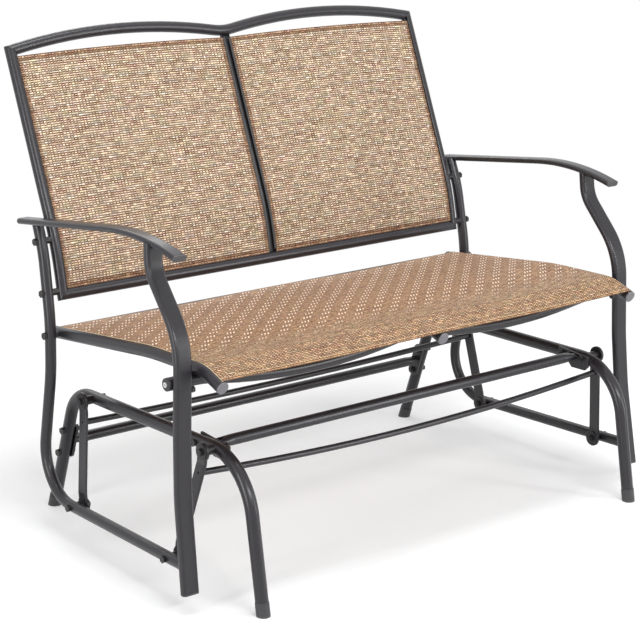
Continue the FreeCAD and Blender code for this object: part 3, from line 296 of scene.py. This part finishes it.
BARE_STEEL = (0.34, 0.33, 0.33, 1)
hardware = black_zinc("black_zinc_hardware", (0.035, 0.034, 0.036))
finish_nodes(hardware, "saddle_bolts", "saddle_nuts",
             "upper_pivot_bolts", "upper_pivot_nuts", "upper_pivot_spacers", "upper_pivot_washers",
             "lower_pivot_bolts", "lower_pivot_nuts", "lower_pivot_spacers", "lower_pivot_washers",
             "back_bolts", "back_spacers", "seat_rear_bolts", "seat_rear_spacers", "leg_bolts")


# Swing links and their tie rods
# Four cranked flat steel bars hang from the hoops and carry the seat frame at their lower ends.
# A thin rod is welded between each pair, so that both sides swing together.
finish_nodes(plate_coat, "left_rear_link", "right_rear_link", "left_front_link", "right_front_link")
finish_nodes(tube_coat, "rear_tie_rod", "front_tie_rod")


# Side frames and armrests
# A bent round tube makes each bottom rail and rear post. The front leg and the armrest are pressed
# oval tube, welded together under the armrest.
finish_nodes(tube_coat, "left_rear_post", "right_rear_post", "left_front_leg", "right_front_leg",
             "left_armrest", "right_armrest")


# End caps
# Moulded plastic plugs close the open ends of the armrests, the front legs, the seat rails and the
# front cross tube. A screw holds each plug of the cross tube.
cap_plastic = moulded("cap_plastic", (0.060, 0.058, 0.062), 0.42, 1200.0)
finish_nodes(cap_plastic, "leg_caps", "armrest_front_caps", "armrest_rear_caps",
             "seat_rail_rear_caps")
rail_cap_plastic = moulded("rail_cap_plastic", (0.15, 0.145, 0.155), 0.34, 1200.0)
finish_nodes(rail_cap_plastic, "seat_rail_front_caps")
plug_plastic = moulded("plug_plastic", (0.022, 0.022, 0.023), 0.50, 1200.0)
finish_nodes(plug_plastic, "front_tube_plugs")
plug_steel = black_zinc("bright_plug_screw", (0.62, 0.61, 0.60))
finish_nodes(plug_steel, "front_tube_plug_screws")


# Backrest frame
# Two bent side tubes and a centre tube, slotted for the cloth, with a double arch across the top
# and a straight tube below. All joints are welded.
finish_nodes(tube_coat, "left_back_side_tube", "right_back_side_tube", "back_top_tube",
             "back_low_tube", "back_centre_tube")


# Seat frame
# Three bent rails lie on a bowed front cross tube and end at a straight rear tube.
finish_nodes(tube_coat, "left_seat_side_rail", "right_seat_side_rail", "seat_centre_rail",
             "seat_rear_tube", "seat_front_tube")


# Edge rods
# Plastic rods run in the sewn edges of the cloth and hold them inside the slotted tubes.
rod_plastic = moulded("rod_plastic", (0.030, 0.030, 0.031), 0.50, 1000.0)
finish_nodes(rod_plastic, "back_sling_rods", "seat_sling_rods")


# Backrest slings
# Two panels of coated polyester mesh stretched between the slotted tubes, woven in tan, beige and
# brown. The top and bottom edges are folded behind and sewn.
def split(tree, value, pitch):
    """The whole number of pitches in a length, and the part left over from 0 to 1."""
    share = calc(tree, "DIVIDE", value, pitch)
    return calc(tree, "FLOOR", share), calc(tree, "FRACT", share)


def chance(tree, across, along):
    """A number from 0 to 1 that is the same all over one cell of the weave."""
    cell = add_node(tree, "CombineXYZ", {0: across, 1: along})
    return add_node(tree, "TexWhiteNoise", {"Vector": cell.outputs[0]}).outputs["Value"]


def yarn_colour(tree, draft, colours):
    """The colour of a weft row by its place in the draft, each colour with an equal share."""
    ramp = add_node(tree, "ValToRGB", {0: draft})
    ramp.color_ramp.interpolation = "CONSTANT"
    stops = ramp.color_ramp.elements
    while len(stops) < len(colours):
        stops.new(0.5)
    for i, colour in enumerate(colours):
        stops[i].position = i / len(colours)
        stops[i].color = colour + (1,)
    return ramp.outputs["Color"]


ROW_PITCH = 0.00465
COLUMN_PITCH = 0.00775
DRAFT_ROWS = 10.0
DRAFT_COLUMNS = 6.0
HALF_DROP = 5.0
TAN = (0.99, 0.81, 0.60)
DULL_TAN = (0.92, 0.72, 0.50)
ROSE = (0.94, 0.72, 0.57)
STONE = (0.74, 0.62, 0.47)
CREAM = (0.90, 0.82, 0.69)
BROWN = (0.10, 0.045, 0.018)
RUST = (0.075, 0.018, 0.006)
SLATE = (0.15, 0.105, 0.070)
WARP = (0.60, 0.42, 0.28, 1)
PINCHED = (0.10, 0.050, 0.025, 1)
ROW_YARNS = [ROSE, DULL_TAN, TAN, STONE, DULL_TAN, TAN, DULL_TAN, STONE, CREAM, DULL_TAN]
GAP_YARNS = [BROWN, BROWN, SLATE, BROWN, BROWN, SLATE, SLATE, SLATE, BROWN, RUST]


def weave_draft(tree, across, along):
    """Ten weft rows by six warp yarns, repeated with the second three yarns shifted five rows."""
    row, in_row = split(tree, along, ROW_PITCH)
    column, in_column = split(tree, across, COLUMN_PITCH)
    _, in_repeat = split(tree, column, DRAFT_COLUMNS)
    half = calc(tree, "FLOOR", calc(tree, "MULTIPLY_ADD", in_repeat, 2.0, 0.01))
    _, in_draft = split(tree, calc(tree, "MULTIPLY_ADD", half, HALF_DROP, row), DRAFT_ROWS)
    draft = calc(tree, "ADD", in_draft, 0.05)
    shade = remap(tree, chance(tree, column, row), 0.0, 1.0, 0.62, 1.12)
    shaded = blend_colour(tree, 1.0, yarn_colour(tree, draft, ROW_YARNS), shade, "MULTIPLY")
    next_row = calc(tree, "ADD", row, 0.5)
    wave = calc(tree, "COSINE", calc(tree, "MULTIPLY", in_column, math.tau))
    warp_side = remap(tree, wave, 0.1, 0.8, to_max=0.62)
    warp_shade = calc(tree, "MULTIPLY", warp_side, chance(tree, column, next_row))
    crossed = blend_colour(tree, warp_shade, yarn_colour(tree, draft, GAP_YARNS), WARP)
    pinch_side = remap(tree, wave, 0.15, 0.5, to_max=1.5)
    pinch = calc(tree, "MULTIPLY", pinch_side, chance(tree, next_row, column))
    line = blend_colour(tree, pinch, shaded, PINCHED)
    from_line = calc(tree, "ABSOLUTE", calc(tree, "SUBTRACT", in_row, 0.5))
    half_line = calc(tree, "MULTIPLY_ADD", chance(tree, row, column), 0.16, 0.13)
    opened = calc(tree, "GREATER_THAN", from_line, half_line)
    return blend_colour(tree, opened, line, crossed), column, in_row, in_column


KNOT_LEAN = 0.4
KNOT_HALF = 0.23
SEAT_TINT = (0.84, 0.635, 0.49, 1)
FRONT_TINT = (0.83, 0.69, 0.56, 1)
# Painted shadow colour, laid round the raised knots of the seat.
KNOT_SHADOW_TONE = (0.20, 0.09, 0.045, 1)
KNOT_TONE = (1.0, 0.86, 0.68, 1)


def seat_figure(tree, colour, column, in_column, along, length):
    """Light knots in leaning groups of three, half dropped, with painted shade round each knot and a
    plain strip along the front.
    """
    band, in_band = split(tree, calc(tree, "SUBTRACT", along, ROW_PITCH), HALF_DROP * ROW_PITCH)
    from_knot_row = calc(tree, "MULTIPLY_ADD", in_band, HALF_DROP, -HALF_DROP / 2)
    leaning = calc(tree, "MULTIPLY_ADD", from_knot_row, KNOT_LEAN, calc(tree, "ADD", column, in_column))
    dropped = calc(tree, "MULTIPLY_ADD", band, -DRAFT_COLUMNS / 2,
                   calc(tree, "SUBTRACT", leaning, DRAFT_COLUMNS / 2))
    _, in_repeat = split(tree, dropped, DRAFT_COLUMNS)
    in_group = calc(tree, "LESS_THAN", in_repeat, 0.5)
    _, in_knot = split(tree, leaning, 1.0)
    aside = calc(tree, "ABSOLUTE", calc(tree, "SUBTRACT", in_knot, 0.5))
    ahead = calc(tree, "ABSOLUTE", from_knot_row)
    spot = calc(tree, "MULTIPLY", calc(tree, "LESS_THAN", aside, KNOT_HALF),
                calc(tree, "LESS_THAN", ahead, 1.0))
    shown = calc(tree, "MULTIPLY_ADD", chance(tree, column, band), 0.38, 0.66)
    knot = calc(tree, "MULTIPLY", calc(tree, "MULTIPLY", in_group, spot), shown)
    # Painted shade: in the knot columns, the cloth within two rows of each knot row is darkened towards
    # a dark brown, standing in for the shadow round the raised knots.
    knot_shadow_ring = calc(tree, "MULTIPLY", in_group, calc(tree, "LESS_THAN", ahead, 2.0))
    ground = blend_colour(tree, 1.0, colour, SEAT_TINT, "MULTIPLY")
    knot_shadowed = blend_colour(tree, calc(tree, "MULTIPLY", knot_shadow_ring, 0.55), ground, KNOT_SHADOW_TONE)
    knotted = blend_colour(tree, knot, knot_shadowed, KNOT_TONE)
    front = blend_colour(tree, 1.0, colour, FRONT_TINT, "MULTIPLY")
    return blend_colour(tree, remap(tree, along, length - 0.16, length - 0.09), knotted, front)


STITCH_PITCH = 0.0042
SEAM_INSET = 0.003
THREAD_HALF = 0.0006


def seam(tree, from_edge, hem, lengthwise):
    """1 on the stitches of the seam along one pair of hems."""
    aside = calc(tree, "ABSOLUTE", calc(tree, "SUBTRACT", from_edge, hem - SEAM_INSET))
    _, in_stitch = split(tree, lengthwise, STITCH_PITCH)
    return calc(tree, "MULTIPLY", calc(tree, "LESS_THAN", aside, THREAD_HALF),
                calc(tree, "LESS_THAN", in_stitch, 0.7))


def sling_cloth(name, width, length, side_hem, hem_tone, thread_tone, raised):
    """Coated mesh cloth on its own flat measure: u across and v along, in metres."""
    material, tree, shader = start_material(name)
    flat = add_node(tree, "UVMap", uv_map="cloth").outputs[0]
    parts = add_node(tree, "SeparateXYZ", {0: flat})
    across = parts.outputs["X"]
    along = parts.outputs["Y"]
    woven, column, in_row, in_column = weave_draft(tree, across, along)
    tint = add_node(tree, "TexNoise", {"Vector": flat, "Scale": 42.0, "Detail": 3.0})
    colour = blend_colour(tree, 0.22, woven, tint.outputs["Color"], "SOFT_LIGHT")
    if raised:
        colour = seat_figure(tree, colour, column, in_column, along, length)
    from_side = calc(tree, "MINIMUM", across, calc(tree, "SUBTRACT", width, across))
    from_end = calc(tree, "MINIMUM", along, calc(tree, "SUBTRACT", length, along))
    doubled = calc(tree, "MAXIMUM", calc(tree, "LESS_THAN", from_side, side_hem),
                   calc(tree, "LESS_THAN", from_end, END_HEM))
    hemmed = blend_colour(tree, doubled, colour, hem_tone, "MULTIPLY")
    thread = calc(tree, "MAXIMUM", seam(tree, from_side, side_hem, along),
                  seam(tree, from_end, END_HEM, across))
    tree.links.new(blend_colour(tree, thread, hemmed, thread_tone), shader.inputs["Base Color"])
    row_round = calc(tree, "SINE", calc(tree, "MULTIPLY", in_row, math.tau))
    column_round = calc(tree, "SINE", calc(tree, "MULTIPLY", in_column, math.tau))
    relief = calc(tree, "ADD", calc(tree, "MULTIPLY", row_round, 0.5),
                  calc(tree, "MULTIPLY", column_round, 0.3))
    bump = add_node(tree, "Bump", {"Strength": 0.5, "Distance": 0.0004,
                                   "Height": calc(tree, "ADD", relief, thread)})
    tree.links.new(bump.outputs[0], shader.inputs["Normal"])
    tree.links.new(remap(tree, tint.outputs["Fac"], 0.0, 1.0, 0.52, 0.70), shader.inputs["Roughness"])
    shader.inputs["Specular IOR Level"].default_value = 0.25
    shader.inputs["Sheen Weight"].default_value = 0.04
    shader.inputs["Sheen Roughness"].default_value = 0.5
    return material


SLING_THICK = 0.0010
BACK_TOP = Vector((0, 0.3884, 0.9475))
BACK_KNEE = Vector((0, 0.2324, 0.5735))
BACK_LOW = Vector((0, 0.2145, 0.4840))
BACK_KNEE_R = 0.600
BACK_FORWARD = 0.0077
BACK_TOP_GAP = 0.0152
BACK_LOW_GAP = 0.0112
BACK_INNER = 0.0098
BACK_OUTER = 0.5157
BACK_TOP_HOLLOW = 0.0045
BACK_BILLOW = 0.0012
BACK_SIDE_HEM = 0.0085
END_HEM = 0.010
FOLD_LENGTH = 0.022
FOLD_R = 0.0007


def back_at(run):
    """Point on the side tube's line and its lean from upright, a distance down from the top corner."""
    upper = BACK_TOP - BACK_KNEE
    lower = BACK_KNEE - BACK_LOW
    lean_up = math.atan2(upper.y, upper.z)
    lean_low = math.atan2(lower.y, lower.z)
    cut = BACK_KNEE_R * math.tan((lean_up - lean_low) / 2)
    arc = BACK_KNEE_R * (lean_up - lean_low)
    straight = upper.length - cut
    if run <= straight:
        return BACK_TOP - upper.normalized() * run, lean_up
    if run >= straight + arc:
        return BACK_KNEE - lower.normalized() * (cut + run - straight - arc), lean_low
    lean = lean_up - (run - straight) / BACK_KNEE_R
    start = BACK_TOP - upper.normalized() * straight
    chord = Vector((0, math.cos(lean) - math.cos(lean_up), math.sin(lean_up) - math.sin(lean)))
    return start - Vector((0, chord.y * BACK_KNEE_R, chord.z * BACK_KNEE_R)), lean


def folded(run, length):
    """Where a flat length lies on a panel whose two ends are folded behind, as (run, behind)."""
    if run < 0:
        turned = min(-run / FOLD_R, math.pi)
        inside = max(-run - math.pi * FOLD_R, 0)
        return inside - FOLD_R * math.sin(turned), FOLD_R * (1 - math.cos(turned))
    if run > length:
        turned = min((run - length) / FOLD_R, math.pi)
        inside = max(run - length - math.pi * FOLD_R, 0)
        return length - inside + FOLD_R * math.sin(turned), FOLD_R * (1 - math.cos(turned))
    return run, 0.0


def panel_runs(length, steps):
    """Flat distances along a panel, close together round its two folds."""
    fold = math.pi * FOLD_R
    before = [-FOLD_LENGTH, -FOLD_LENGTH / 2] + [-fold * (1 - i / 5) for i in range(5)]
    after = [length + fold * (i + 1) / 5 for i in range(5)]
    end = [length + FOLD_LENGTH / 2, length + FOLD_LENGTH]
    return before + [length * i / steps for i in range(steps + 1)] + after + end


def woven_panel(name, material, acrosses, runs, place):
    """A sheet of cloth made from a flat grid, laid in place, with its flat measure as its map."""
    cloth = bmesh.new()
    bmesh.ops.create_grid(cloth, x_segments=len(acrosses) - 1, y_segments=len(runs) - 1, size=0.5)
    measure = cloth.loops.layers.uv.new("cloth")
    flat_place = {}
    for vert in cloth.verts:
        column = round((vert.co.x + 0.5) * (len(acrosses) - 1))
        row = round((0.5 - vert.co.y) * (len(runs) - 1))
        flat_place[vert] = (acrosses[column], runs[row])
    for face in cloth.faces:
        for loop in face.loops:
            loop[measure].uv = flat_place[loop.vert]
    for vert in cloth.verts:
        vert.co = place(*flat_place[vert])
    bmesh.ops.recalc_face_normals(cloth, faces=cloth.faces)
    mesh = bpy.data.meshes.new(name)
    cloth.to_mesh(mesh)
    cloth.free()
    for polygon in mesh.polygons:
        polygon.use_smooth = True
    mesh.materials.append(material)
    sheet = bpy.data.objects.new(name, mesh)
    bpy.context.scene.collection.objects.link(sheet)
    thick = sheet.modifiers.new("cloth_thickness", "SOLIDIFY")
    thick.thickness = SLING_THICK
    thick.offset = 0.0
    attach(sheet, "seat")
    return sheet


back_width = BACK_OUTER - BACK_INNER
upper_length = (BACK_TOP - BACK_KNEE).length
back_lean = math.atan2(BACK_TOP.y - BACK_KNEE.y, BACK_TOP.z - BACK_KNEE.z)
low_lean = math.atan2(BACK_KNEE.y - BACK_LOW.y, BACK_KNEE.z - BACK_LOW.z)
knee_cut = BACK_KNEE_R * math.tan((back_lean - low_lean) / 2)
straight_length = upper_length + (BACK_KNEE - BACK_LOW).length - 2 * knee_cut
axis_length = straight_length + BACK_KNEE_R * (back_lean - low_lean)
back_length = axis_length - BACK_TOP_GAP - BACK_LOW_GAP
back_cloth = sling_cloth("tan_back_cloth", back_width, back_length, BACK_SIDE_HEM,
                         (0.66, 0.54, 0.46, 1), (0.16, 0.08, 0.045, 1), False)


def place_back(side):
    """Gives the function that lays a flat point of one back panel, hollowed at its top edge."""
    def place(across, run):
        inside, behind = folded(run, back_length)
        centre = back_width / 2
        bow = 1 - ((across - centre) / centre) ** 2
        down = 1 - inside / back_length
        point, lean = back_at(BACK_TOP_GAP + inside - BACK_TOP_HOLLOW * bow * down)
        share = min(max(inside / back_length, 0), 1)
        forward = BACK_FORWARD - behind - BACK_BILLOW * bow * math.sin(math.pi * share)
        x = side * (BACK_INNER + across)
        return (x, point.y - forward * math.cos(lean), point.z + forward * math.sin(lean))
    return place


for side, name in ((-1, "left_back_sling"), (1, "right_back_sling")):
    acrosses = [back_width * i / 72 for i in range(73)]
    sling = woven_panel(name + "_cloth", back_cloth, acrosses, panel_runs(back_length, 66),
                        place_back(side))
    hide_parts(name)


# Seat sling
# One wide panel of the same mesh over all three rails. Its side edges turn down into the slotted
# side rails, and its front and rear edges are folded under and sewn.
SEAT_REAR = Vector((0, 0.2156, 0.4065))
SEAT_KNEE = Vector((0, -0.1094, 0.4430))
SEAT_CROWN = Vector((0, -0.2794, 0.4470))
SEAT_END = Vector((0, -0.3325, 0.4275))
SEAT_KNEE_R = 0.700
SEAT_CROWN_R = 0.100
SEAT_RAIL_X = 0.5305
SEAT_RAIL_R = 0.01225
SEAT_LIFT = 0.00035
SEAT_UP = SEAT_RAIL_R + SEAT_LIFT + SLING_THICK / 2
SEAT_TURN_R = 0.0015
SEAT_DROP = 0.0055
SEAT_SAG = 0.0025
SEAT_REAR_INSET = 0.006
SEAT_FRONT_INSET = 0.004
SEAT_SIDE_HEM = 0.0095


def seat_at(run):
    """Point on the seat rail's line and its slope, a distance forward from the rear tube."""
    corners = [SEAT_REAR, SEAT_KNEE, SEAT_CROWN, SEAT_END]
    radii = [SEAT_KNEE_R, SEAT_CROWN_R]
    heading = [math.atan2(b.z - a.z, a.y - b.y) for a, b in zip(corners, corners[1:])]
    here = corners[0].copy()
    left = run
    cut_before = 0.0
    for i in range(3):
        turn = heading[i] - heading[i + 1] if i < 2 else 0.0
        cut = radii[i] * math.tan(turn / 2) if i < 2 else 0.0
        straight = (corners[i + 1] - corners[i]).length - cut_before - cut
        ahead = Vector((0, -math.cos(heading[i]), math.sin(heading[i])))
        if left <= straight or i == 2:
            return here + ahead * left, heading[i]
        here = here + ahead * straight
        left = left - straight
        arc = radii[i] * turn
        angle = min(left / radii[i], turn)
        now = heading[i] - angle
        here = here + Vector((0, -radii[i] * (math.sin(heading[i]) - math.sin(now)),
                              radii[i] * (math.cos(now) - math.cos(heading[i]))))
        if left <= arc:
            return here, now
        left = left - arc
        cut_before = cut
    return here, heading[2]


def seat_run_to(y):
    """How far along the rail line a place lies."""
    low, high = 0.0, 0.7
    for _ in range(40):
        middle = (low + high) / 2
        if seat_at(middle)[0].y > y:
            low = middle
        else:
            high = middle
    return low


seat_start = seat_run_to(SEAT_REAR.y - SEAT_REAR_INSET)
seat_length = seat_run_to(SEAT_END.y + SEAT_FRONT_INSET) - seat_start
turn_length = SEAT_TURN_R * math.pi / 2
seat_half = SEAT_RAIL_X - SEAT_TURN_R
seat_width = 2 * (seat_half + turn_length + SEAT_DROP)
seat_cloth = sling_cloth("tan_seat_cloth", seat_width, seat_length, SEAT_SIDE_HEM,
                         (0.90, 0.86, 0.80, 1), (0.72, 0.57, 0.38, 1), True)


def place_seat(across, run):
    """Lays a flat point of the seat, sagging a little between the rails, its sides turned down."""
    inside, behind = folded(run, seat_length)
    point, slope = seat_at(seat_start + inside)
    out = across - seat_width / 2
    side = 1 if out > 0 else -1
    past = abs(out) - seat_half
    sink = 0.0
    x = out
    if past > 0:
        turned = min(past / SEAT_TURN_R, math.pi / 2)
        sink = SEAT_TURN_R * (1 - math.cos(turned)) + max(past - turn_length, 0)
        x = side * (seat_half + SEAT_TURN_R * math.sin(turned))
    share = min(abs(x) / SEAT_RAIL_X, 1.0)
    sag = SEAT_SAG * math.sin(math.pi * share) ** 2
    up = SEAT_UP - behind - sink - sag
    return (x, point.y + up * math.sin(slope), point.z + up * math.cos(slope))


turned_edge = [SEAT_DROP + turn_length * i / 4 for i in range(5)]
first_side = [0.0, SEAT_DROP / 2] + turned_edge[:-1]
level = [SEAT_DROP + turn_length + 2 * seat_half * i / 120 for i in range(121)]
acrosses = first_side + level + [seat_width - a for a in reversed(first_side)]
sling = woven_panel("seat_sling_cloth", seat_cloth, acrosses, panel_runs(seat_length, 80), place_seat)
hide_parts("seat_sling")
